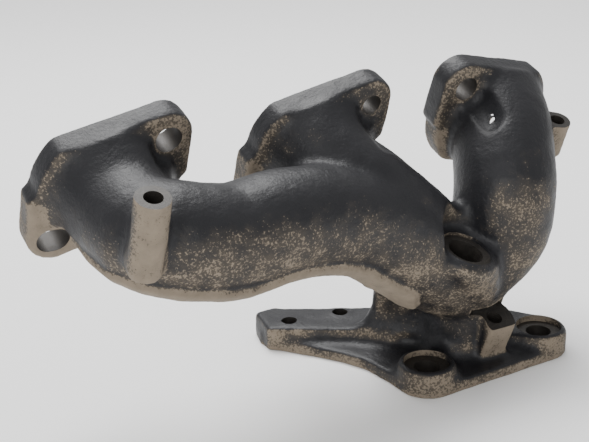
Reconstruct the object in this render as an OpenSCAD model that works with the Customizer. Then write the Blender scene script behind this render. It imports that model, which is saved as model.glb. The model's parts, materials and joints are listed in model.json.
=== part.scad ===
// Three-port cast-iron exhaust manifold for one bank of a six-cylinder engine.
// Origin: centre of the outlet face. +X runs along the row of ports, +Y to the
// cylinder head, +Z up. Millimetres.

/* [Ports] */
// distance between neighbouring ports
port_pitch = 105; // [90:1:130]
// how far the middle port stands to the left of the outlet
port_offset = 71.5; // [55:0.5:90]
// height of the port centres above the outlet face
port_rise = 120.3; // [105:0.1:150]
// distance of the port centres behind the outlet centre
port_back = 32.9; // [20:0.1:50]
// lean of the port faces away from upright
port_tilt = 21; // [10:1:30]
// diameter of each gas port
port_bore_d = 38; // [30:1:40]

/* [Port flanges] */
// thickness of the port flanges
flange_t = 12; // [8:0.5:15]
// sideways distance of a bolt hole from its port centre
ear_x = 24.5; // [22:0.5:32]
// height of a bolt hole above or below its port centre
ear_v = 22.3; // [20:0.1:30]
// radius of the rounded ear round a bolt hole
ear_r = 12.4; // [11:0.1:16]
// radius of the round middle of a port flange
flange_r = 33.5; // [30:0.5:36]
// slope of the straight top edge
top_slope = 13.2; // [8:0.1:20]
// bolt hole diameter in the middle flange
locating_hole_d = 10.2; // [8:0.1:12]
// bolt hole diameter in the two end flanges
end_hole_d = 12.6; // [10:0.1:14]
// radius kept clear for the nut and washer in front of a bolt hole
nut_room_r = 10.6; // [9:0.1:11]
// extra length of the slotted end hole, for heat growth
slot_growth = 2.4; // [0.5:0.1:4]

/* [Runners] */
// wall thickness of the runners and the collector
wall = 4.5; // [3:0.1:6]
// outside radius of the long runner
log_r = 23.5; // [20:0.5:26]
// how far the long runner stands out in front of the port flanges
log_out = 43; // [38:1:55]
// outside radius of the short right-hand runner
right_r = 25.6; // [23:0.1:28]
// how far the lower mould half stands proud along the parting line
band_step = 3.6; // [2:0.1:5]

/* [Outlet] */
// outside radius of the neck above the outlet flange
neck_r = 20.5; // [18:0.5:24]
// height of the top of the neck
neck_top = 31; // [26:1:38]
// radius of the bolt circle of the outlet flange
outlet_circle_r = 42; // [38:0.5:48]
// turn of the bolt circle from the Y axis
outlet_turn = 1.5; // [0:0.5:5]
// thickness of the outlet flange at its bolt pads
pad_h = 12.5; // [10:0.5:16]
// thickness of the thinned plate between the pads
plate_h = 5.6; // [4:0.1:8]
// outside radius of a bolt pad
pad_r = 14.5; // [13:0.1:18]
// seat diameter for the bolt heads
seat_d = 23.6; // [20:0.1:25]
// depth of the bolt head seats
seat_depth = 2.5; // [1:0.1:4]
// bolt hole diameter in the outlet flange
outlet_hole_d = 13; // [11:0.1:15]

/* [Bosses] */
// nominal thread diameter of the sensor port
sensor_thread_d = 18; // [14:1:20]
// radius of the sensor boss
sensor_boss_r = 14; // [12:0.5:16]
// nominal thread diameter of the heat-shield bosses
shield_thread_d = 8; // [6:1:10]
// radius of the left heat-shield boss
shield_r_left = 7.4; // [6.5:0.1:9]
// radius of the right heat-shield boss
shield_r_right = 7.2; // [6:0.1:8.5]
// hole diameter in the bracket arm
arm_hole_d = 8.4; // [6:0.1:10]

/* [Hidden] */
fine = 96;
ring_n = 28;
up_v = [0, -sin(port_tilt), cos(port_tilt)];
to_head = [0, cos(port_tilt), sin(port_tilt)];
left_x = -port_offset - port_pitch;
mid_x = -port_offset;
right_x = port_pitch - port_offset;
bore_r = port_bore_d / 2;
neck_bore_r = neck_r - wall + 0.5;
far = 400;

// ---- small vector helpers -------------------------------------------------

// centre of the front face of the flange at x
function port_front(x) = [x, port_back, port_rise] - flange_t * to_head;

// a point given from a flange: sideways, out from the head, up the flange
function from_port(x, side, out, up) = port_front(x) + [side, 0, 0] - out * to_head + up * up_v;

function unit(v) = v / norm(v);

function xyz(p) = [p[0], p[1], p[2]];

// smooth curve through the keys
function curve_at(k, i, t) =
  let (a = k[max(i - 1, 0)], b = k[i], c = k[i + 1], d = k[min(i + 2, len(k) - 1)])
  0.5 * (2 * b + (c - a) * t + (2 * a - 5 * b + 4 * c - d) * t * t
    + (3 * b - a - 3 * c + d) * t * t * t);

function curve(k, steps) = concat([for (i = [0 : len(k) - 2]) for (s = [0 : steps - 1])
  curve_at(k, i, s / steps)], [k[len(k) - 1]]);

// direction of travel at each point, with both ends stated
function travel(p, i, first, last) =
  i == 0 ? first : i == len(p) - 1 ? last : unit(xyz(p[i + 1]) - xyz(p[i - 1]));

// the same line drawn at its bore radius
function bored(p) = [for (q = p) [q[0], q[1], q[2], q[4]]];

// ---- centre lines ---------------------------------------------------------

root_r = flange_r - 3;

// each key is [x, y, z, outside radius, bore radius]
long_keys = [
  concat(port_front(left_x), [root_r, bore_r]),
  concat(from_port(left_x, 0, 7, 0), [bore_r + wall + 3, bore_r]),
  concat(from_port(left_x, 0, 16, 0), [log_r + 0.6, bore_r]),
  concat(from_port(left_x, 2, 0.72 * log_out, 2), [log_r, log_r - wall]),
  concat(from_port(left_x, 11, 0.91 * log_out, 3.2), [log_r, log_r - wall]),
  concat(from_port(left_x, 23.5, log_out, 1.4), [log_r, log_r - wall]),
  concat(from_port(left_x, 0.37 * port_pitch, log_out, -2.2), [log_r, log_r - wall]),
  concat(from_port(left_x, 0.53 * port_pitch, 0.96 * log_out, -1), [log_r, log_r - wall]),
  concat(from_port(mid_x, -0.3 * port_pitch, 0.93 * log_out, -2.4), [log_r, log_r - wall]),
  concat(from_port(mid_x, -0.13 * port_pitch, 0.92 * log_out, -6), [log_r, log_r - wall]),
  concat(from_port(mid_x, 6, 0.93 * log_out, -13.5), [log_r, log_r - wall]),
  [-0.66 * port_offset, -9.5, 0.635 * port_rise, log_r, log_r - wall],
  [-0.45 * port_offset, -7, 0.54 * port_rise, log_r, log_r - wall],
  [-0.25 * port_offset, -4, 0.44 * port_rise, log_r, log_r - wall],
  [-5, -1, 0.345 * port_rise, neck_r + 2, neck_bore_r + 1],
  [0, 0, neck_top - 3, neck_r, neck_bore_r]];

middle_keys = [
  concat(port_front(mid_x), [root_r, bore_r]),
  concat(from_port(mid_x, 0, 6, 0), [bore_r + wall + 2.5, bore_r]),
  concat(from_port(mid_x, 2, 13, -1), [bore_r + wall - 0.5, bore_r - 0.5]),
  concat(from_port(mid_x, 7, 21, -4), [bore_r + wall - 1, bore_r - 1]),
  concat(from_port(mid_x, 16, 27, -10), [bore_r + wall - 1, bore_r - 1]),
  [-0.61 * port_offset, -4, 0.71 * port_rise, bore_r + wall - 1, bore_r - 1],
  [-0.44 * port_offset, -3.5, 0.62 * port_rise, bore_r + wall - 1, bore_r - 1],
  [-0.29 * port_offset, -3, 0.52 * port_rise, bore_r + wall - 2.5, bore_r - 2.5],
  [-0.19 * port_offset, -3, 0.44 * port_rise, bore_r + wall - 5, bore_r - 5]];
middle_end = unit([0.55, 0, -0.8]);

right_keys = [
  concat(port_front(right_x), [root_r, bore_r]),
  concat(from_port(right_x, -1, 7, 0), [right_r + 1.5, bore_r]),
  concat(from_port(right_x, -3, 14, -1.5), [right_r, right_r - wall]),
  concat(from_port(right_x, -8, 24, -6.5), [right_r, right_r - wall]),
  [right_x - 12.6, -6, 0.75 * port_rise, right_r, right_r - wall],
  [right_x - 13.5, -6.8, 0.65 * port_rise, right_r, right_r - wall],
  [right_x - 14.6, -6.5, 0.55 * port_rise, right_r - 0.8, right_r - wall - 0.8],
  [right_x - 19.2, -5, 0.457 * port_rise, right_r - 3.4, right_r - wall - 3.4],
  [0.18 * right_x, -3, 0.374 * port_rise, neck_r - 0.4, neck_bore_r + 0.3],
  [0.08 * right_x, -1, 0.307 * port_rise, neck_r - 1, neck_bore_r],
  [0.9, 0, neck_top + 0.4, neck_r - 1.6, neck_bore_r - 1.4]];

long_line = curve(long_keys, 2);
middle_line = curve(middle_keys, 2);
right_line = curve(right_keys, 2);

// ---- building blocks ------------------------------------------------------

// points round a slice standing across the direction of travel, between two angles
function ring(at, along, r, from, to, n) =
  let (side = unit(cross(up_v, along)), top = cross(along, side))
  [for (i = [0 : n - 1]) let (a = from + (to - from) * i / n)
    at + r * cos(a) * side + r * sin(a) * top];

function full_ring(q, along) = ring(xyz(q), along, q[3], 0, 360, ring_n);

// centre of a set of points, and the length of the nose on each swept length
function mean(p) = [for (q = p) 1] * p / len(p);
nose = 0.5;

// solid between two rings that have the same number of points; where another length
// follows, a shallow nose reaches into it so that the two lengths grow into one
module between(a, b, along, nose) {
  n = len(a);
  c = mean(b);
  hull()
    polyhedron(
      points = concat(a, b, [for (q = b) c + 0.96 * (q - c) + nose * along]),
      faces = concat(
        [[for (i = [0 : n - 1]) i]],
        [[for (i = [n - 1 : -1 : 0]) 2 * n + i]],
        [for (i = [0 : n - 1]) [(i + 1) % n, i, n + i]],
        [for (i = [0 : n - 1]) [n + i, n + (i + 1) % n, (i + 1) % n]],
        [for (i = [0 : n - 1]) [n + (i + 1) % n, n + i, 2 * n + i]],
        [for (i = [0 : n - 1]) [2 * n + i, 2 * n + (i + 1) % n, n + (i + 1) % n]]));
}

// a pipe-shaped sweep along a line
module sweep(line, first, last) {
  for (i = [0 : len(line) - 2])
    between(
      full_ring(line[i], travel(line, i, first, last)),
      full_ring(line[i + 1], travel(line, i + 1, first, last)),
      travel(line, i + 1, first, last),
      i < len(line) - 2 ? nose : 0);
}

module long_sweep() {
  sweep(long_line, -to_head, [0, 0, -1]);
}

module middle_sweep() {
  sweep(middle_line, -to_head, middle_end);
}

module right_sweep() {
  sweep(right_line, -to_head, [0, 0, -1]);
}

// the line of a bore, started a little inside the flange
function bore_line(line) = concat([concat(xyz(line[0]) + 2 * to_head, [line[0][4]])], bored(line));

// the one connected gas passage
module passage() {
  difference() {
    union() {
      sweep(concat(bore_line(long_line), [[0, 0, pad_h - 2, neck_bore_r]]), -to_head, [0, 0, -1]);
      sweep(bore_line(middle_line), -to_head, middle_end);
      sweep(bore_line(right_line), -to_head, [0, 0, -1]);
    }
    sensor_wall();
  }
}

// stands a shape on its end with +Z turned to run up the port flanges
module along_flange(at) {
  translate(at)
    rotate([port_tilt, 0, 0])
      children();
}

// flat shape with the four points where outside tangents touch two circles
module belt_sides(a, ra, b, rb) {
  d = norm(b - a);
  face = atan2(b[1] - a[1], b[0] - a[0]);
  swing = acos((ra - rb) / d);
  polygon([
    a + ra * [cos(face + swing), sin(face + swing)],
    b + rb * [cos(face + swing), sin(face + swing)],
    b + rb * [cos(face - swing), sin(face - swing)],
    a + ra * [cos(face - swing), sin(face - swing)]]);
}

// outline of a band drawn tight round two circles
module belt(a, ra, b, rb) {
  belt_sides(a, ra, b, rb);
  translate(a)
    circle(r = ra, $fn = fine);
  translate(b)
    circle(r = rb, $fn = fine);
}

// ---- port flanges ---------------------------------------------------------

// direction square to the straight top edge, and where that edge runs out on the round middle
top_face = 90 + top_slope;
top_reach = ear_x * cos(top_face) + ear_v * sin(top_face) + ear_r;
top_end = top_face + acos(top_reach / flange_r);

function arc(c, r, from, to, n) =
  [for (i = [0 : n]) let (a = from + (to - from) * i / n) c + r * [cos(a), sin(a)]];

// upright side, ear, straight top, round middle and the step at the parting line
function half_outline() = concat(
  [[ear_x + ear_r, 0]],
  arc([ear_x, ear_v], ear_r, 0, top_face, 14),
  arc([0, 0], flange_r, top_end, 180, 10));

module flange_outline(hand) {
  polygon([for (s = [1, -1]) for (q = half_outline()) [s * hand * q[0], s * q[1]]]);
}

// puts a flat shape on the gasket face, thickness towards the runners
module on_port_face(x) {
  translate([x, port_back, port_rise])
    rotate([port_tilt, 0, 0])
      rotate([90, 0, 0])
        linear_extrude(height = flange_t)
          children();
}

module port_flange(x, hand, upper_d, lower_d, growth) {
  on_port_face(x)
    difference() {
      flange_outline(hand);
      circle(r = bore_r, $fn = fine);
      translate([hand * ear_x, ear_v])
        circle(r = upper_d / 2, $fn = fine);
      translate([-hand * ear_x, -ear_v])
        circle(r = lower_d / 2, $fn = fine);
      if (growth > 0) {
        translate([-hand * (ear_x + growth), -ear_v])
          circle(r = lower_d / 2, $fn = fine);
        translate([hand > 0 ? -ear_x - growth : ear_x, -ear_v - lower_d / 2])
          square([growth, lower_d]);
      }
    }
}

// room for a nut and a spanner in front of the two bolt holes
module nut_room(x, hand) {
  for (s = [1, -1])
    translate([x, port_back, port_rise])
      rotate([port_tilt, 0, 0])
        rotate([90, 0, 0])
          translate([s * hand * ear_x, s * ear_v, flange_t - 0.5])
            cylinder(r = nut_room_r, h = 26, $fn = 48);
}

module port_flange_left() {
  color("#4a4644")
    port_flange(left_x, 1, end_hole_d, end_hole_d, slot_growth);
}

module port_flange_middle() {
  color("#4a4644")
    port_flange(mid_x, 1, locating_hole_d, locating_hole_d, 0);
}

module port_flange_right() {
  color("#4a4644")
    port_flange(right_x, -1, end_hole_d, end_hole_d, slot_growth);
}

port_flange_left();
port_flange_middle();
port_flange_right();

// ---- runners and collector ------------------------------------------------

elbow_x = left_x + 0.33 * port_pitch;
join_x = -0.62 * port_offset;
right_z = 0.6 * port_rise;

// the half of space to the left of a plane across the row of ports
module left_of(x) {
  translate([x - 2 * far, -far, -far])
    cube(2 * far);
}

module above(z) {
  translate([-far, -far, z])
    cube(2 * far);
}

module below(z) {
  translate([-far, -far, z - 2 * far])
    cube(2 * far);
}

left_boss_top = from_port(left_x, -9.7, log_out + 16, 43.7);
left_boss_h = 39;
right_boss_top = from_port(right_x, right_r + 1.5, 18.3, 6.2);
right_boss_h = 20;
sensor_at = [-0.235 * port_offset, -24.6, 0.568 * port_rise];
sensor_lean = 21.7;
sensor_face = -55.7;
sensor_boss_h = 9;
sensor_wall_t = 3.5;
sensor_pad_r = sensor_boss_r + 2.6;
sensor_recess_r = sensor_boss_r + 3.3;
sensor_hole_r = (sensor_thread_d - 1.5) / 2;
shield_hole_r = (shield_thread_d - 1.25) / 2;
chamfer = 1.6;

module on_sensor() {
  translate(sensor_at)
    rotate([0, sensor_lean, sensor_face])
      children();
}

// iron kept round the sensor boss and its recess, which stands a little into the gas way
module sensor_wall() {
  on_sensor()
    translate([0, 0, -sensor_boss_h - 2])
      cylinder(r = sensor_recess_r + sensor_wall_t, h = 40, $fn = 48);
}

// round recess cut by the tool that faces the sensor boss
module sensor_recess() {
  on_sensor()
    cylinder(r = sensor_recess_r, h = 30, $fn = fine);
}

module left_boss_column() {
  along_flange(left_boss_top)
    translate([0, 0, -left_boss_h])
      cylinder(r = shield_r_left, h = left_boss_h, $fn = fine);
}

module right_boss_column() {
  along_flange(right_boss_top)
    translate([0, 0, -right_boss_h])
      cylinder(r = shield_r_right, h = right_boss_h, $fn = fine);
}

// the swelling that carries the left column down into the elbow
module left_boss_root() {
  hull() {
    along_flange(left_boss_top)
      translate([0, 1, 6 - left_boss_h])
        sphere(r = shield_r_left + 0.6, $fn = ring_n);
    along_flange(left_boss_top)
      translate([4, 7, -0.5 * left_boss_h])
        sphere(r = shield_r_left, $fn = ring_n);
    translate(from_port(left_x, 4, 0.8 * log_out, -6))
      sphere(r = 13, $fn = ring_n);
  }
}

module right_boss_root() {
  hull() {
    along_flange(right_boss_top)
      translate([-2.6, 0, 3 - right_boss_h])
        sphere(r = shield_r_right - 1, $fn = ring_n);
    along_flange(right_boss_top)
      translate([-7, 0, -0.45 * right_boss_h])
        sphere(r = shield_r_right - 1, $fn = ring_n);
    translate([right_x + 2, 0, 0.68 * port_rise])
      sphere(r = 12, $fn = ring_n);
  }
}

module runner_left_elbow() {
  color("#3d3a39")
    difference() {
      union() {
        long_sweep();
        left_boss_root();
      }
      passage();
      translate([elbow_x, -far, -far])
        cube(2 * far);
      left_boss_column();
      nut_room(left_x, 1);
    }
}

module runner_left_log() {
  color("#403d3b")
    difference() {
      long_sweep();
      passage();
      left_of(elbow_x);
      translate([join_x, -far, -far])
        cube(2 * far);
    }
}

module runner_middle() {
  color("#3d3a39")
    difference() {
      middle_sweep();
      long_sweep();
      right_sweep();
      passage();
      nut_room(mid_x, 1);
      sensor_recess();
    }
}

module runner_right() {
  color("#3d3a39")
    difference() {
      union() {
        right_sweep();
        right_boss_root();
      }
      long_sweep();
      passage();
      below(right_z);
      right_boss_column();
      nut_room(right_x, -1);
    }
}

// swelling under the sensor boss, running down into the neck
module sensor_pad() {
  hull() {
    on_sensor()
      translate([0, 0, -6])
        cylinder(r = sensor_pad_r, h = 7, $fn = ring_n);
    translate([2, -3, neck_top])
      cylinder(r = neck_r - 3, h = 2, $fn = ring_n);
  }
}

module collector() {
  color("#403d3b")
    difference() {
      union() {
        long_sweep();
        difference() {
          right_sweep();
          above(right_z);
        }
        sensor_pad();
      }
      passage();
      left_of(join_x);
      below(neck_top);
      on_sensor()
        translate([0, 0, -sensor_boss_h])
          cylinder(r = sensor_boss_r, h = sensor_boss_h + 1, $fn = fine);
      on_sensor()
        translate([0, 0, -sensor_boss_h - 5])
          cylinder(r = sensor_hole_r, h = 8, $fn = fine);
      sensor_recess();
    }
}

runner_left_elbow();
runner_left_log();
runner_middle();
runner_right();
collector();

// ---- outlet ---------------------------------------------------------------

function bolt_at(i) = outlet_circle_r * [cos(90 + outlet_turn + 120 * i), sin(90 + outlet_turn + 120 * i)];

// middle of the flange edge that the arm grows from, to the nearest whole millimetre
edge_turn = 150 + outlet_turn;
edge_reach = outlet_circle_r / 2 + pad_r;
arm_root = [round(edge_reach * cos(edge_turn)), round(edge_reach * sin(edge_turn))];
function from_edge(p) = [for (q = p) q + arm_root];
arm_plate = from_edge([
  [-5, -39], [-19.4, -39], [-19.6, -28], [-22, -11], [-28.5, 3], [-38, 16.5], [-47.4, 28],
  [-52, 35.5], [-54.1, 43], [-50.2, 56.3], [-36.6, 57.1], [-36.2, 54.3], [8.1, 28.8],
  [30, 25]
]);
plateau = from_edge([
  [-54.1, 34.2], [-17.2, 11.3], [-3, -5], [31, -17], [31, 25], [8.1, 28.8], [-36.2, 54.3],
  [-36.6, 57.1], [-50.2, 56.3]
]);
arm_holes = from_edge([[-40.1, 36.3], [-11.7, 31]]);

module outlet_outline() {
  belt(bolt_at(0), pad_r, bolt_at(1), pad_r);
  belt(bolt_at(1), pad_r, bolt_at(2), pad_r);
  belt(bolt_at(2), pad_r, bolt_at(0), pad_r);
  polygon([bolt_at(0), bolt_at(1), bolt_at(2)]);
}

module raised_outline() {
  belt(bolt_at(2), pad_r, bolt_at(0), pad_r);
  translate(bolt_at(1))
    circle(r = pad_r, $fn = fine);
  circle(r = neck_r + 1, $fn = fine);
  intersection() {
    polygon(plateau);
    outlet_outline();
  }
}

module outlet_flange() {
  color("#4a4644")
    difference() {
      union() {
        linear_extrude(height = plate_h)
          outlet_outline();
        linear_extrude(height = pad_h)
          raised_outline();
      }
      translate([0, 0, -1])
        cylinder(r = neck_bore_r, h = pad_h + 2, $fn = fine);
      for (i = [0 : 2]) {
        translate([bolt_at(i)[0], bolt_at(i)[1], -1])
          cylinder(r = outlet_hole_d / 2, h = pad_h + 2, $fn = fine);
        translate([bolt_at(i)[0], bolt_at(i)[1], pad_h - seat_depth])
          cylinder(r = seat_d / 2, h = seat_depth + 1, $fn = fine);
      }
    }
}

module bracket_arm() {
  color("#46423f")
    difference() {
      union() {
        linear_extrude(height = plate_h)
          difference() {
            polygon(arm_plate);
            outlet_outline();
          }
        linear_extrude(height = pad_h)
          difference() {
            polygon(plateau);
            outlet_outline();
          }
      }
      for (h = arm_holes)
        translate([h[0], h[1], -1])
          cylinder(r = arm_hole_d / 2, h = pad_h + 2, $fn = fine);
    }
}

post_at = [2.8, -neck_r - 4.5, pad_h + 15.7];
post_outline = [[-7.5, -7.3], [8.4, -7.6], [10.7, 0], [10.8, 5.6], [1.9, 7.6], [-4.8, 5.6]];
post_inner_r = neck_bore_r + 1.5;

module post_body() {
  along_flange(post_at)
    translate([0, 0, -40])
      linear_extrude(height = 40)
        polygon(post_outline);
}

// solid corner that ties the neck to the plateau and to the long runner; each level is
// [z, front edge x, y, back corner x, y, back corner radius]
web_levels = [
  [pad_h, -25, 7, -44, 28, 2.5],
  [16, -23.5, 8, -37, 26, 4],
  [0.2 * port_rise, -23, 8, -33, 23, 5],
  [0.283 * port_rise, -24, 5, -35, 19, 5],
  [0.35 * port_rise, -0.39 * port_offset, -2, -0.587 * port_offset, 9, 5],
  [0.424 * port_rise, -0.503 * port_offset, -12, -0.783 * port_offset, 0, 5]];

module web_slice(v) {
  translate([v[1], v[2], v[0]])
    cylinder(r = 1.2, h = 0.5, $fn = ring_n);
  translate([v[3], v[4], v[0]])
    cylinder(r = v[5], h = 0.5, $fn = ring_n);
  translate([-8, 8 - 0.3 * (v[0] - pad_h), v[0]])
    cylinder(r = 7, h = 0.5, $fn = ring_n);
}

module neck_web() {
  for (i = [0 : len(web_levels) - 2])
    hull() {
      web_slice(web_levels[i]);
      web_slice(web_levels[i + 1]);
    }
}

module outlet_neck() {
  color("#3d3a39")
    difference() {
      union() {
        translate([0, 0, pad_h])
          cylinder(r = neck_r, h = neck_top - pad_h, $fn = fine);
        difference() {
          neck_web();
          long_sweep();
          middle_sweep();
          right_sweep();
        }
      }
      passage();
      difference() {
        post_body();
        cylinder(r = post_inner_r - 0.02, h = far, $fn = fine);
      }
    }
}

outlet_neck();
outlet_flange();
bracket_arm();

// ---- parting band ---------------------------------------------------------

band_from = 3;
band_to = 25;
low_n = 15;

// how far below the centre line the parting line runs, as a share of the radius
parting_share = 0.5;

// the step fades out towards the elbow
function step_at(i) = band_step * min(1, 0.3 + 0.12 * (i - band_from));

// the lower part of a slice, cut off level with the parting line
function low_ring(i) =
  let (q = long_line[i], r = q[3] + step_at(i), a = asin(parting_share * q[3] / r))
  ring(xyz(q), travel(long_line, i, -to_head, [0, 0, -1]), r,
    180 + a, 360 - a + (180 - 2 * a) / (low_n - 1), low_n);

module band_sweep() {
  for (i = [band_from : band_to - 1])
    between(low_ring(i), low_ring(i + 1), travel(long_line, i + 1, -to_head, [0, 0, -1]),
      i < band_to - 1 ? nose : 0);
}

// everything to the right of the upright corner where the band ends
module past_corner() {
  translate([-0.475 * port_offset, -9, -far])
    rotate([0, 0, 54])
      translate([-far, -far, 0])
        cube([2 * far, far, 2 * far]);
}

module parting_band() {
  color("#5c5650")
    difference() {
      band_sweep();
      long_sweep();
      middle_sweep();
      right_sweep();
      neck_web();
      left_boss_root();
      left_boss_column();
      sensor_pad();
      past_corner();
    }
}

parting_band();

// ---- bosses ---------------------------------------------------------------

module sensor_boss() {
  color("#4a4644")
    on_sensor()
      difference() {
        translate([0, 0, -sensor_boss_h])
          cylinder(r = sensor_boss_r, h = sensor_boss_h, $fn = fine);
        translate([0, 0, -sensor_boss_h - 1])
          cylinder(r = sensor_hole_r, h = sensor_boss_h + 2, $fn = fine);
        translate([0, 0, -chamfer])
          cylinder(r1 = sensor_hole_r, r2 = sensor_hole_r + chamfer, h = chamfer, $fn = fine);
      }
}

module shield_boss_left() {
  color("#4a4644")
    difference() {
      left_boss_column();
      along_flange(left_boss_top)
        translate([0, 0, -20])
          cylinder(r = shield_hole_r, h = 21, $fn = fine);
    }
}

module shield_boss_right() {
  color("#4a4644")
    difference() {
      right_boss_column();
      along_flange(right_boss_top)
        translate([0, 0, -15])
          cylinder(r = shield_hole_r, h = 16, $fn = fine);
    }
}

module flange_post() {
  color("#4a4644")
    difference() {
      post_body();
      below(plate_h);
      cylinder(r = neck_r + 1, h = pad_h, $fn = fine);
      cylinder(r = post_inner_r, h = far, $fn = fine);
      along_flange(post_at)
        translate([0, 0, -10])
          cylinder(r = shield_hole_r, h = 11, $fn = fine);
    }
}

sensor_boss();
shield_boss_left();
shield_boss_right();
flange_post();
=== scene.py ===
# %% [markdown]
# # A cast-iron exhaust manifold
# Three port flanges bolt to a cylinder head, three runners meet in a collector, and the gas
# leaves downwards through an outlet flange. The real part is one piece of sand-cast iron
# with a few machined faces and holes, so the lesson follows the foundry and the machine
# shop: first make a rough blank with soft corners, then cut the faces and holes into it.

# %% Load the measured frame
import bpy
import json
import math
import numpy as np
from mathutils import Matrix, Vector
from mathutils.bvhtree import BVHTree


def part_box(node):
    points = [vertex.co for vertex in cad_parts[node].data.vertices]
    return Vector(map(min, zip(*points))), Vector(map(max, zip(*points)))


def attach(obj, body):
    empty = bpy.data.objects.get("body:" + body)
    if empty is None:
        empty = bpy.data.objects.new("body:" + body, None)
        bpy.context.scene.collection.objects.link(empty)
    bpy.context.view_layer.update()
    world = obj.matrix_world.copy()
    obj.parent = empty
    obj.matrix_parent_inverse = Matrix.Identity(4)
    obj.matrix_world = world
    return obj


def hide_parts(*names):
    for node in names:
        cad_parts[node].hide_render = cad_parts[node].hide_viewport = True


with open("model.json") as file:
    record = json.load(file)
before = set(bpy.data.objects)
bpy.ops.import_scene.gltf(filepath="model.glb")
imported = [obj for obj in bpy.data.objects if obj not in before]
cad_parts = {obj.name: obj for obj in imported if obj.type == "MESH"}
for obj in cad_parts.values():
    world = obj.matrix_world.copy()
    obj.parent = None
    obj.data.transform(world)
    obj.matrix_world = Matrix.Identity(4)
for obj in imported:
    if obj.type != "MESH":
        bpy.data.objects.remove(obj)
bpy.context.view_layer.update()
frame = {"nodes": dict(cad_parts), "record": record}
nodes = frame["nodes"]
mounts = {m["name"]: m for m in frame["record"]["mounts"]}
mm = 0.001
print("frame:", len(nodes), "nodes,", len(mounts), "mounts")

# %% [markdown]
# The cylinder head stands behind the part, and its face leans. One direction, read from the
# record, gives that lean for every cut that follows: it points straight into the head.

# %% Directions and small helpers
to_head = Vector(mounts["port_face_left"]["axis"]).normalized()
up_face = Vector((0, -to_head.z, to_head.y))
down = Vector((0, 0, -1))
outwards = {"left": Vector((-1, 0, 0)), "right": Vector((1, 0, 0))}


def place_of(name):
    return Vector(mounts[name]["pos_m"])


def size_of(name):
    return mounts[name]["dims"]["r_mm"] * mm


def only(piece):
    bpy.ops.object.select_all(action="DESELECT")
    piece.select_set(True)
    bpy.context.view_layer.objects.active = piece


def finish_with(piece, kind, **settings):
    only(piece)
    step = piece.modifiers.new("step", kind)
    for key, value in settings.items():
        setattr(step, key, value)
    bpy.ops.object.modifier_apply(modifier=step.name)


print("into the head:", [round(c, 4) for c in to_head])

# %% [markdown]
# The blank starts from copies of the measured bodies. Each copy is loose triangles, so its
# doubles are merged. A copy can also be pushed a little past a face that will be machined
# later, as a foundry leaves spare metal there.

# %% Copies of the measured bodies
def copy_of(node, push=Vector((0, 0, 0))):
    mesh = nodes[node].data.copy()
    mesh.transform(Matrix.Translation(push))
    piece = bpy.data.objects.new("copy_" + node, mesh)
    bpy.context.collection.objects.link(piece)
    return piece


def joined(pieces, name):
    bpy.ops.object.select_all(action="DESELECT")
    for piece in pieces:
        piece.select_set(True)
    bpy.context.view_layer.objects.active = pieces[0]
    bpy.ops.object.join()
    whole = bpy.context.view_layer.objects.active
    whole.name = name
    bpy.ops.object.mode_set(mode="EDIT")
    bpy.ops.mesh.select_all(action="SELECT")
    bpy.ops.mesh.remove_doubles(threshold=1e-6)
    bpy.ops.object.mode_set(mode="OBJECT")
    return whole


spare = 1.6 * mm
port_nodes = ["port_flange_left", "port_flange_middle", "port_flange_right"]
tube_nodes = ["runner_left_elbow", "runner_left_log", "runner_middle", "runner_right",
              "collector", "outlet_neck"]
foot_nodes = ["outlet_flange", "bracket_arm"]
body = [copy_of(n) for n in port_nodes + tube_nodes + foot_nodes]
body += [copy_of(n, spare * to_head) for n in port_nodes]
body += [copy_of(n, Vector((0, 0, -spare))) for n in foot_nodes]
print("bodies copied:", len(body))

# %% [markdown]
# Bolt holes are drilled after casting, so the blank is solid there. A rod is a cylinder laid
# along any direction; here rods fill the holes, and later the same helper makes the drills.

# %% Rods
rod_sides = 72


def rod(centre, direction, radius, length):
    turn = direction.to_track_quat("Z", "Y").to_euler()
    bpy.ops.mesh.primitive_cylinder_add(vertices=rod_sides, radius=radius, depth=length,
                                        location=centre, rotation=turn)
    piece = bpy.context.active_object
    piece.name = "rod"
    bpy.ops.object.transform_apply(location=True, rotation=True, scale=True)
    return piece


studs = [n for n in mounts if n.startswith("stud_hole")]
arm_holes = [n for n in mounts if n.startswith("arm_hole")]
print("stud holes:", studs, "arm holes:", arm_holes)

# %% [markdown]
# The rods that fill the holes are a little wider than the holes, so no old wall is left
# for a drill to scrape. The tapped bosses and the bolt seats of the foot are filled too.

# %% Fill what will be drilled
def top_of(node, hole):
    axis = Vector(mounts[hole]["axis"]).normalized()
    height = max(v.co.dot(axis) for v in nodes[node].data.vertices)
    start = place_of(hole)
    return start + axis * (height - start.dot(axis)), axis


bolt_circle = mounts["outlet_bolts"]["dims"]["pcd_mm"] * mm / 2
bolt_r = mounts["outlet_bolts"]["dims"]["hole_r_mm"] * mm
pad_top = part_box("outlet_flange")[1].z
seat_r, seat_depth = 11.8 * mm, 2.5 * mm
first_bolt = math.radians(-28.5)
bolt_angles = [first_bolt + i * math.tau / 3 for i in range(3)]
bolts = [Vector((math.cos(a), math.sin(a), 0)) * bolt_circle for a in bolt_angles]
lower_slots = {s: place_of("gas_port_" + s) * 2 - place_of(f"stud_hole_{s}_upper")
               for s in ("left", "right")}
wider = 1.5 * mm
flange_t = 12 * mm
slot_fill_r, arm_fill_r, bolt_fill_r = 10.4 * mm, 6 * mm, 13 * mm
fills = [rod(place_of(n), to_head, size_of(n) + wider, flange_t + spare) for n in studs]
fills += [rod(p, to_head, slot_fill_r, flange_t + spare) for p in lower_slots.values()]
fills += [rod(place_of(n), down, arm_fill_r, pad_top + spare) for n in arm_holes]
fills += [rod(p - down * pad_top / 2, down, bolt_fill_r, pad_top + spare) for p in bolts]
print("fills:", len(fills))

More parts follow.
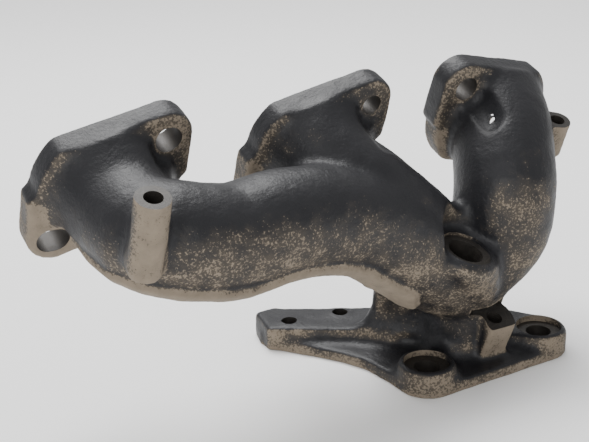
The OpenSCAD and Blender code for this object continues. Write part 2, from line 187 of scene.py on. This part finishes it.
# %% [markdown]
# One voxel remesh grows all bodies into a single skin. Sand can't hold a sharp inside
# corner, so the skin is swollen, remeshed and shrunk again: outside corners come back as
# they were, and every inside corner keeps a round fillet.

# %% The blank and its fillets
grain = 1.0 * mm


def skinned(piece, voxel):
    finish_with(piece, "REMESH", mode="VOXEL", voxel_size=voxel)


blank = joined(body + fills, "manifold_casting")
skinned(blank, grain)
fillet = 3.0 * mm
finish_with(blank, "DISPLACE", strength=fillet, mid_level=0)
skinned(blank, grain * 1.2)
finish_with(blank, "DISPLACE", strength=-fillet, mid_level=0)
skinned(blank, grain)
print("blank:", len(blank.data.polygons), "faces")

# %% [markdown]
# The pouring band along the mould's parting line, the tapped bosses and the post keep
# firmer corners on the real casting, so they join after the fillets. Each boss starts a
# little too tall, because its top will be milled.

# %% Add the band, the bosses and the post
tapped = {"shield_boss_left": "shield_boss_left_hole",
          "shield_boss_right": "shield_boss_right_hole",
          "flange_post": "flange_post_hole",
          "sensor_boss": "sensor_port"}
extras = [blank, copy_of("parting_band")]
for node, hole in tapped.items():
    top, axis = top_of(node, hole)
    depth = mounts[hole]["dims"]["length_mm"] * mm
    extras += [copy_of(node), copy_of(node, spare * axis)]
    extras.append(rod(top - axis * (depth - spare) / 2, axis, size_of(hole) + wider,
                      depth + spare))
casting = joined(extras, "manifold_casting")
skinned(casting, grain * 0.95)
small_fillet = 1.5 * mm
finish_with(casting, "DISPLACE", strength=small_fillet, mid_level=0)
skinned(casting, grain)
finish_with(casting, "DISPLACE", strength=-small_fillet, mid_level=0)
skinned(casting, grain * 0.9)
finish_with(casting, "SMOOTH", factor=0.5, iterations=4)
print("casting skin:", len(casting.data.polygons), "faces")

# %% [markdown]
# Sand leaves a skin that is never quite even. Two displacements along the normals make it:
# a slow one for the swells of the hand-made core and a fine one for the sand's grain.

# %% Uneven sand-cast skin
def clouds(name, grain_size, depth):
    pattern = bpy.data.textures.new(name, "CLOUDS")
    pattern.noise_scale = grain_size
    pattern.noise_depth = depth
    return pattern


finish_with(casting, "DISPLACE", texture=clouds("swell", 14 * mm, 1), strength=0.7 * mm,
            mid_level=0.5)
finish_with(casting, "DISPLACE", texture=clouds("sand", 2.6 * mm, 2), strength=0.28 * mm,
            mid_level=0.5)
print("skin textured")

# %% [markdown]
# Machining is cutting, so each face is one boolean with a slab, a mill or a drill. The cuts
# are made in passes, and no two tools of one pass touch each other.

# %% Machine shop helpers
def slab(centre, sizes, tilt=0.0):
    bpy.ops.mesh.primitive_cube_add(size=1, location=centre, rotation=(tilt, 0, 0), scale=sizes)
    piece = bpy.context.active_object
    bpy.ops.object.transform_apply(location=True, rotation=True, scale=True)
    return piece


def machined(piece, tools):
    cutter = joined(tools, "cutter") if len(tools) > 1 else tools[0]
    finish_with(piece, "BOOLEAN", operation="DIFFERENCE", solver="MANIFOLD", object=cutter)
    bpy.data.objects.remove(cutter)


lean = math.atan2(to_head.z, to_head.y)
gasket = place_of("gas_port_middle") + to_head * flange_t / 2
big = 0.4
print("gasket face at", [round(c / mm, 1) for c in gasket])

# %% Mill the faces
faces = [slab(gasket + to_head * 5 * mm, (big, 10 * mm, 82 * mm), lean),
         slab(Vector((0, 0, -10 * mm)), (big, big, 20 * mm))]
for node, hole in tapped.items():
    top, axis = top_of(node, hole)
    faces.append(rod(top + axis * 2 * mm, axis, 13 * mm, 4 * mm))
faces += [rod(p + Vector((0, 0, pad_top + 5 * mm - seat_depth)), down, seat_r, 10 * mm)
          for p in bolts]
machined(casting, faces)
print("milled:", len(faces), "faces")

# %% Drill the holes
slot_r, slot_growth = 6.3 * mm, 2.4 * mm
drill_l, long_drill_l = 19 * mm, 40 * mm
end_mill_l, slot_mill_l = 18 * mm, 17 * mm
drills = [rod(place_of(n), to_head, size_of(n), drill_l) for n in studs]
drills += [rod(p, to_head, slot_r, drill_l) for p in lower_slots.values()]
drills += [rod(p, down, bolt_r, long_drill_l) for p in bolts]
drills += [rod(place_of(n), down, size_of(n), long_drill_l) for n in arm_holes]
machined(casting, drills)
slot_ends = {s: p + outwards[s] * slot_growth for s, p in lower_slots.items()}
for s, p in lower_slots.items():
    machined(casting, [rod(slot_ends[s], to_head, slot_r, end_mill_l)])
    machined(casting, [slab((p + slot_ends[s]) / 2, (slot_growth, slot_mill_l, 2 * slot_r),
                            lean)])
print("drilled:", len(drills), "holes")

# %% [markdown]
# Each tapped hole is drilled wide, and its thread is a ridge of the same iron wound inside
# it: a small triangle carried up a screw, with its root sunk in the wall.

# %% Tapped holes
def thread(top, axis, crest, pitch, turns, name):
    bpy.ops.mesh.primitive_circle_add(vertices=3, radius=pitch * 0.56, fill_type="NGON",
                                      location=(crest + pitch * 0.5, 0, 0),
                                      rotation=(math.pi / 2, math.pi / 2, 0))
    ridge = bpy.context.active_object
    ridge.name = name
    bpy.ops.object.transform_apply(location=True, rotation=True, scale=True)
    finish_with(ridge, "SCREW", angle=math.tau, screw_offset=pitch, iterations=turns, steps=40,
                render_steps=40, use_merge_vertices=False)
    ridge.data.transform(Matrix.Translation(top - axis * pitch * (turns + 1.2))
                         @ axis.to_track_quat("Z", "Y").to_matrix().to_4x4())
    bpy.ops.object.mode_set(mode="EDIT")
    bpy.ops.mesh.select_all(action="SELECT")
    bpy.ops.mesh.remove_doubles(threshold=1e-6)
    bpy.ops.mesh.fill_holes(sides=0)
    bpy.ops.mesh.normals_make_consistent(inside=False)
    bpy.ops.object.mode_set(mode="OBJECT")
    return ridge


sensor_pitch, boss_pitch = 1.5 * mm, 1.25 * mm
past_thread = 6 * mm
root_share = 0.434


def pitch_of(hole):
    return sensor_pitch if hole == "sensor_port" else boss_pitch


def drilled_r(hole):
    return size_of(hole) + pitch_of(hole) * root_share


threads = []
for node, hole in tapped.items():
    top, axis = top_of(node, hole)
    depth = mounts[hole]["dims"]["length_mm"] * mm
    reach = depth + (past_thread if node == "sensor_boss" else 0)
    pitch = pitch_of(hole)
    machined(casting, [rod(top - axis * (reach / 2 - 5 * mm), axis, drilled_r(hole),
                           reach + 10 * mm)])
    turns = int(depth / pitch) - 1
    threads.append(thread(top, axis, size_of(hole), pitch, turns, node + "_thread"))
print("tapped:", [t.name for t in threads])

# %% [markdown]
# The skin is far finer than it needs to be on flat metal. A decimate keeps the shape and
# brings the piece down to a size that is easy to store. Shading stays smooth over the cast
# skin and breaks at the machined edges.

# %% Lighten and shade
most_faces = 190000
triangles = sum(len(p.vertices) - 2 for p in casting.data.polygons)
finish_with(casting, "DECIMATE", ratio=min(1.0, most_faces / triangles))
only(casting)
bpy.ops.object.shade_smooth_by_angle(angle=math.radians(38))
print("casting:", triangles, "->", len(casting.data.polygons), "triangles")

# %% [markdown]
# Wear follows shape: edges rub bright and hollows keep soot. The bend of the surface is
# measured at each point, averaged with its neighbours, and kept as an attribute that the
# material can read anywhere on the piece.

# %% Measure where edges stand proud
def bend_of(piece, passes):
    mesh = piece.data
    count = len(mesh.vertices)
    spots = np.zeros(count * 3)
    mesh.vertices.foreach_get("co", spots)
    spots = spots.reshape(-1, 3)
    normals = np.zeros(count * 3)
    mesh.vertices.foreach_get("normal", normals)
    normals = normals.reshape(-1, 3)
    ends = np.zeros(len(mesh.edges) * 2, int)
    mesh.edges.foreach_get("vertices", ends)
    a, b = ends.reshape(-1, 2).T
    run = spots[b] - spots[a]
    length = np.maximum(np.linalg.norm(run, axis=1), 1e-6)
    bend = ((normals[b] - normals[a]) * run).sum(axis=1) / length ** 2
    bend = np.clip(bend, -2000, 2000)
    uses = np.maximum(np.bincount(a, minlength=count) + np.bincount(b, minlength=count), 1)
    total = np.bincount(a, bend, count) + np.bincount(b, bend, count)
    value = total / uses
    for _ in range(passes):
        spread = np.bincount(a, value[b], count) + np.bincount(b, value[a], count)
        value = 0.5 * value + 0.5 * spread / uses
    return value


def keep_attribute(piece, name, values):
    layer = piece.data.attributes.new(name, "FLOAT", "POINT")
    layer.data.foreach_set("value", values.astype(np.float32))


edge = np.clip(bend_of(casting, 3) / 420, -1, 1)
keep_attribute(casting, "edge", edge)
print("edge range:", round(float(edge.min()), 2), round(float(edge.max()), 2))

# %% [markdown]
# Tools leave a smoother metal than the sand does. Milled faces are picked by their place
# and normal, and take the second material slot; the walls of the holes take the third.

# %% Pick the machined surfaces
casting.data.materials.clear()
made = {name: bpy.data.materials.new(name)
        for name in ("cast_skin", "milled_face", "drilled_wall")}
for material in made.values():
    material.use_nodes = True
    casting.data.materials.append(material)

walls = [(place_of(n), to_head, size_of(n)) for n in studs]
walls += [(p, to_head, slot_r) for p in [*lower_slots.values(), *slot_ends.values()]]
walls += [(p, down, bolt_r) for p in bolts]
walls += [(place_of(n), down, size_of(n)) for n in arm_holes]
walls += [(place_of(h), Vector(mounts[h]["axis"]), drilled_r(h)) for h in tapped.values()]
mesh = casting.data
count = len(mesh.polygons)
centres, normals = np.zeros(count * 3), np.zeros(count * 3)
mesh.polygons.foreach_get("center", centres)
mesh.polygons.foreach_get("normal", normals)
centres, normals = centres.reshape(-1, 3), normals.reshape(-1, 3)
slot = np.zeros(count, int)
near, near_hole = 0.06 * mm, 16 * mm


def on_plane(point, normal):
    n = np.array(normal)
    return (np.abs((centres - np.array(point)) @ n) < near) & (np.abs(normals @ n) > 0.99)


slot[on_plane(gasket, to_head) | on_plane((0, 0, 0), down)] = 1
for node, hole in tapped.items():
    top, axis = top_of(node, hole)
    away = np.linalg.norm(centres - np.array(top), axis=1)
    slot[on_plane(top, axis) & (away < near_hole)] = 1
for p in bolts:
    away = np.linalg.norm(centres[:, :2] - np.array(p)[:2], axis=1)
    slot[on_plane((0, 0, pad_top - seat_depth), down) & (away < seat_r + near)] = 1
for point, axis, radius in walls:
    offset = centres - np.array(point)
    along = offset @ np.array(axis)
    away = np.linalg.norm(offset - along[:, None] * np.array(axis), axis=1)
    slot[(np.abs(away - radius) < near * 2) & (np.abs(normals @ np.array(axis)) < 0.15)
         & (np.abs(along) < near_hole)] = 2
mesh.polygons.foreach_set("material_index", slot.astype(np.int32))
mesh.update()
print("milled:", int((slot == 1).sum()), "drilled:", int((slot == 2).sum()), "faces")

# %% [markdown]
# Some regions of the casting rub more than others: the band, the bosses, the foot and the
# lower halves of the port flanges. The upper halves of the port flanges are held dark, a painted
# shade.
# Each point is asked how far it is from those measured bodies, and the answer is kept as a second
# attribute.

# %% Mark the regions that rub pale
def nearness(piece, node, reach):
    source = nodes[node].data
    tree = BVHTree.FromPolygons([v.co.copy() for v in source.vertices],
                                [tuple(p.vertices) for p in source.polygons])
    found = [tree.find_nearest(v.co, reach)[3] for v in piece.data.vertices]
    return np.array([0.0 if d is None else 1 - d / reach for d in found])


rubbed = {"parting_band": 1.0, "shield_boss_left": 0.8, "shield_boss_right": 0.7,
          "flange_post": 0.7, "bracket_arm": 0.5, "outlet_flange": 0.4,
          "port_flange_left": 0.95, "port_flange_middle": 0.7, "port_flange_right": 0.7}
spots = np.array([v.co for v in casting.data.vertices])
low_half = (spots - np.array(gasket)) @ np.array(up_face) < -2 * mm
pale = np.zeros(len(spots))
for node, share in rubbed.items():
    close = share * np.clip(2.2 * nearness(casting, node, 2.2 * mm), 0, 1)
    # painted shade: on the port flanges only the lower half turns pale, and the upper half stays
    # dark
    if node.startswith("port_flange"):
        close = np.where(low_half, close, 0.1 * close)
    pale = np.maximum(pale, close)
keep_attribute(casting, "pale", pale)
print("pale points:", int((pale > 0.5).sum()))

# %% [markdown]
# A material is a chain of small decisions. These helpers add one node each, so the recipes
# below read from top to bottom like a list.

# %% Material helpers
def add(tree, kind, inputs=None, **settings):
    node = tree.nodes.new(kind)
    for key, value in settings.items():
        setattr(node, key, value)
    for key, value in (inputs or {}).items():
        if isinstance(value, bpy.types.NodeSocket):
            tree.links.new(value, node.inputs[key])
        else:
            node.inputs[key].default_value = value
    return node


def maths(tree, kind, first, second=0.0, clamp=False):
    return add(tree, "ShaderNodeMath", {0: first, 1: second}, operation=kind,
               use_clamp=clamp).outputs[0]


def step_up(tree, value, low, high, to_low=0.0, to_high=1.0):
    return add(tree, "ShaderNodeMapRange", {"Value": value, "From Min": low, "From Max": high,
                                            "To Min": to_low, "To Max": to_high},
               interpolation_type="SMOOTHSTEP").outputs[0]


def noise(tree, place, scale, detail=3.0, roughness=0.55):
    return add(tree, "ShaderNodeTexNoise", {"Vector": place, "Scale": scale, "Detail": detail,
                                            "Roughness": roughness}).outputs[0]


def blend(tree, factor, first, second):
    mix = add(tree, "ShaderNodeMix", data_type="RGBA")
    for socket, value in ((mix.inputs[0], factor), (mix.inputs[6], first), (mix.inputs[7], second)):
        if isinstance(value, bpy.types.NodeSocket):
            tree.links.new(value, socket)
        else:
            socket.default_value = value
    return mix.outputs[2]


def attribute(tree, name):
    return add(tree, "ShaderNodeAttribute", attribute_name=name).outputs["Fac"]


def facing(tree, direction):
    normal = add(tree, "ShaderNodeTexCoord").outputs["Normal"]
    d = Vector(direction).normalized()
    return add(tree, "ShaderNodeVectorMath", {0: normal, 1: tuple(d)},
               operation="DOT_PRODUCT").outputs["Value"]


print("helpers ready")

# %% [markdown]
# The cast skin is soot-black with a blue tinge where it looks up. Towards the front and
# below it turns lighter, a painted light from the front left and below, and real wear rubs the soot
# through in fine specks to a tan-grey oxide, most of all along edges and on the pale regions.
# Specks are a noise cut off at a level that the wear and the painted light move.

# %% Cast skin
tree = made["cast_skin"].node_tree
shader = tree.nodes["Principled BSDF"]
place = add(tree, "ShaderNodeTexCoord").outputs["Object"]
# painted light: faces turned to the front left and down are pushed towards the tan and brown, as if
# lit from below
painted_light_front_down = facing(tree, (-0.22, -0.80, -0.56))
upward = facing(tree, (0.0, 0.25, 0.97))
cloud = noise(tree, place, 38.0, 3.0)
patch = noise(tree, place, 150.0, 4.0, 0.6)
speck = noise(tree, place, 900.0, 3.0, 0.65)
wear_and_painted_light = maths(tree, "MULTIPLY", step_up(tree, painted_light_front_down, -0.05, 1.0), 0.40)
wear_and_painted_light = maths(tree, "ADD", wear_and_painted_light, maths(tree, "MULTIPLY", attribute(tree, "pale"), 0.42))
wear_and_painted_light = maths(tree, "ADD", wear_and_painted_light, maths(tree, "MULTIPLY", attribute(tree, "edge"), 0.42))
wear_and_painted_light = maths(tree, "ADD", wear_and_painted_light, maths(tree, "MULTIPLY", cloud, 0.55))
wear_and_painted_light = maths(tree, "ADD", wear_and_painted_light, maths(tree, "MULTIPLY", patch, 0.35))
wear_and_painted_light = maths(tree, "SUBTRACT", wear_and_painted_light, step_up(tree, upward, 0.35, 0.95, 0.0, 0.42))
wear_and_painted_light = maths(tree, "SUBTRACT", wear_and_painted_light, 0.52)
level = maths(tree, "SUBTRACT", 0.78, maths(tree, "MULTIPLY", wear_and_painted_light, 0.62))
specks = step_up(tree, maths(tree, "SUBTRACT", speck, level), -0.05, 0.07)
# the brown film is partly real wear and partly painted light on faces turned front and down
film_and_painted_light = step_up(tree, wear_and_painted_light, 0.1, 0.62)
soot = blend(tree, cloud, (0.0085, 0.0088, 0.0108, 1), (0.0185, 0.0182, 0.0205, 1))
brown = blend(tree, patch, (0.055, 0.045, 0.034, 1), (0.115, 0.092, 0.066, 1))
oxide = blend(tree, patch, (0.14, 0.115, 0.085, 1), (0.27, 0.22, 0.165, 1))
colour = blend(tree, film_and_painted_light, soot, brown)
colour = blend(tree, specks, colour, oxide)
tree.links.new(colour, shader.inputs["Base Color"])
rough = maths(tree, "ADD", 0.40, maths(tree, "MULTIPLY", film_and_painted_light, 0.2))
rough = maths(tree, "ADD", rough, maths(tree, "MULTIPLY", specks, 0.16))
rough = maths(tree, "ADD", rough, maths(tree, "MULTIPLY", patch, 0.12), clamp=True)
tree.links.new(rough, shader.inputs["Roughness"])
sand = maths(tree, "ADD", maths(tree, "MULTIPLY", noise(tree, place, 620.0, 3.0, 0.6), 1.0),
             maths(tree, "MULTIPLY", specks, 0.12))
bump = add(tree, "ShaderNodeBump", {"Strength": 0.55, "Distance": 0.0005, "Height": sand})
tree.links.new(bump.outputs[0], shader.inputs["Normal"])
shader.inputs["Specular IOR Level"].default_value = 0.32
print("cast skin:", len(tree.nodes), "nodes")

# %% [markdown]
# Milled faces are iron too, but cut flat: smoother than the cast skin, stained dark, with a
# faint net of fine cracks where heat has crazed the oxide.

# %% Milled faces
tree = made["milled_face"].node_tree
shader = tree.nodes["Principled BSDF"]
place = add(tree, "ShaderNodeTexCoord").outputs["Object"]
stain = noise(tree, place, 120.0, 4.0, 0.6)
fine = noise(tree, place, 1100.0, 2.0)
crack = add(tree, "ShaderNodeTexVoronoi", {"Vector": place, "Scale": 190.0},
            feature="DISTANCE_TO_EDGE").outputs["Distance"]
line = step_up(tree, crack, 0.0, 0.035, 1.0, 0.0)
base = blend(tree, stain, (0.012, 0.011, 0.0105, 1), (0.042, 0.037, 0.032, 1))
base = blend(tree, maths(tree, "MULTIPLY", line, 0.12), base, (0.2, 0.17, 0.13, 1))
tree.links.new(base, shader.inputs["Base Color"])
shader.inputs["Metallic"].default_value = 0.35
rough = maths(tree, "ADD", 0.34, maths(tree, "MULTIPLY", stain, 0.25))
tree.links.new(rough, shader.inputs["Roughness"])
bump = add(tree, "ShaderNodeBump", {"Strength": 0.3, "Distance": 0.0002, "Height": fine})
tree.links.new(bump.outputs[0], shader.inputs["Normal"])
print("milled face:", len(tree.nodes), "nodes")

# %% [markdown]
# A drilled wall is dark metal under a film of soot. Threads get the same finish, so it is
# made once.

# %% Drilled walls
tree = made["drilled_wall"].node_tree
shader = tree.nodes["Principled BSDF"]
place = add(tree, "ShaderNodeTexCoord").outputs["Object"]
stain = noise(tree, place, 240.0, 4.0, 0.6)
colour = blend(tree, stain, (0.012, 0.011, 0.011, 1), (0.06, 0.052, 0.044, 1))
tree.links.new(colour, shader.inputs["Base Color"])
shader.inputs["Metallic"].default_value = 0.4
rough = maths(tree, "ADD", 0.36, maths(tree, "MULTIPLY", stain, 0.3))
tree.links.new(rough, shader.inputs["Roughness"])
bump = add(tree, "ShaderNodeBump", {"Strength": 0.3, "Distance": 0.0002,
                                    "Height": noise(tree, place, 1400.0, 2.0)})
tree.links.new(bump.outputs[0], shader.inputs["Normal"])
print("drilled wall:", len(tree.nodes), "nodes")

# %% [markdown]
# The casting rides on the one body of the part and stands for all its measured regions.

# %% Ride and replace
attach(casting, "root")
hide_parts(*sorted(nodes))
for ridge in threads:
    ridge.data.materials.append(made["drilled_wall"])
    only(ridge)
    bpy.ops.object.shade_smooth_by_angle(angle=math.radians(50))
    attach(ridge, "root")

# %% [markdown]
# The camera stands to the front left and a little above, with a lens a bit longer than
# normal, so that the row of ports runs away to the right.

# %% Camera
sensor_mm, lens_mm = 36.0, 71.7659
view = bpy.data.cameras.new("view")
view.sensor_width = sensor_mm
view.lens = lens_mm
view.clip_start = 0.01
camera = bpy.data.objects.new("camera", view)
bpy.context.collection.objects.link(camera)
right = Vector((0.8667, -0.4988, -0.0124))
above = Vector((0.1890, 0.3052, 0.9334))
back = Vector((-0.4618, -0.8112, 0.3588))
turn = Matrix((right, above, back)).transposed().to_4x4()
camera.matrix_world = Matrix.Translation(Vector((-345.97, -436.83, 285.30)) * mm) @ turn
bpy.context.scene.camera = camera
print("lens:", round(view.lens, 1), "mm")

# %% [markdown]
# A plain pale floor and a bright studio: a high broad light makes the floor white, a soft
# one behind gives the dark iron its sheen, and one from the front left opens the shadows.

# %% Floor, world and lights
bpy.ops.mesh.primitive_plane_add(size=6, location=(0, 0, -0.0002))
floor = bpy.context.active_object
floor.name = "floor"
bpy.ops.object.transform_apply(location=True, rotation=True, scale=True)
paper = bpy.data.materials.new("paper")
paper.use_nodes = True
shader = paper.node_tree.nodes["Principled BSDF"]
shader.inputs["Base Color"].default_value = (0.9, 0.9, 0.9, 1)
shader.inputs["Roughness"].default_value = 0.9
floor.data.materials.append(paper)
world = bpy.data.worlds.new("studio")
bpy.context.scene.world = world
world.use_nodes = True
sky = world.node_tree.nodes["Background"]
sky.inputs["Color"].default_value = (1, 1, 1, 1)
sky.inputs["Strength"].default_value = 0.6


def soft_light(name, place, target, size, power):
    lamp = bpy.data.lights.new(name, "AREA")
    lamp.size = size
    lamp.energy = power
    light = bpy.data.objects.new(name, lamp)
    bpy.context.collection.objects.link(light)
    light.location = place
    light.rotation_euler = (Vector(target) - Vector(place)).to_track_quat("-Z", "Y").to_euler()
    return light


middle = (-0.06, 0.0, 0.07)
soft_light("top_back", (0.05, 0.5, 0.9), middle, 0.6, 9)
soft_light("front_left", (-0.8, -0.9, 0.45), middle, 0.6, 6)
high = bpy.data.lights.new("high", "SUN")
high.energy = 2.4
high.angle = math.radians(50)
sun = bpy.data.objects.new("high", high)
bpy.context.collection.objects.link(sun)
sun.rotation_euler = Vector((0.1, -0.45, -1)).to_track_quat("-Z", "Y").to_euler()
print("lights set")
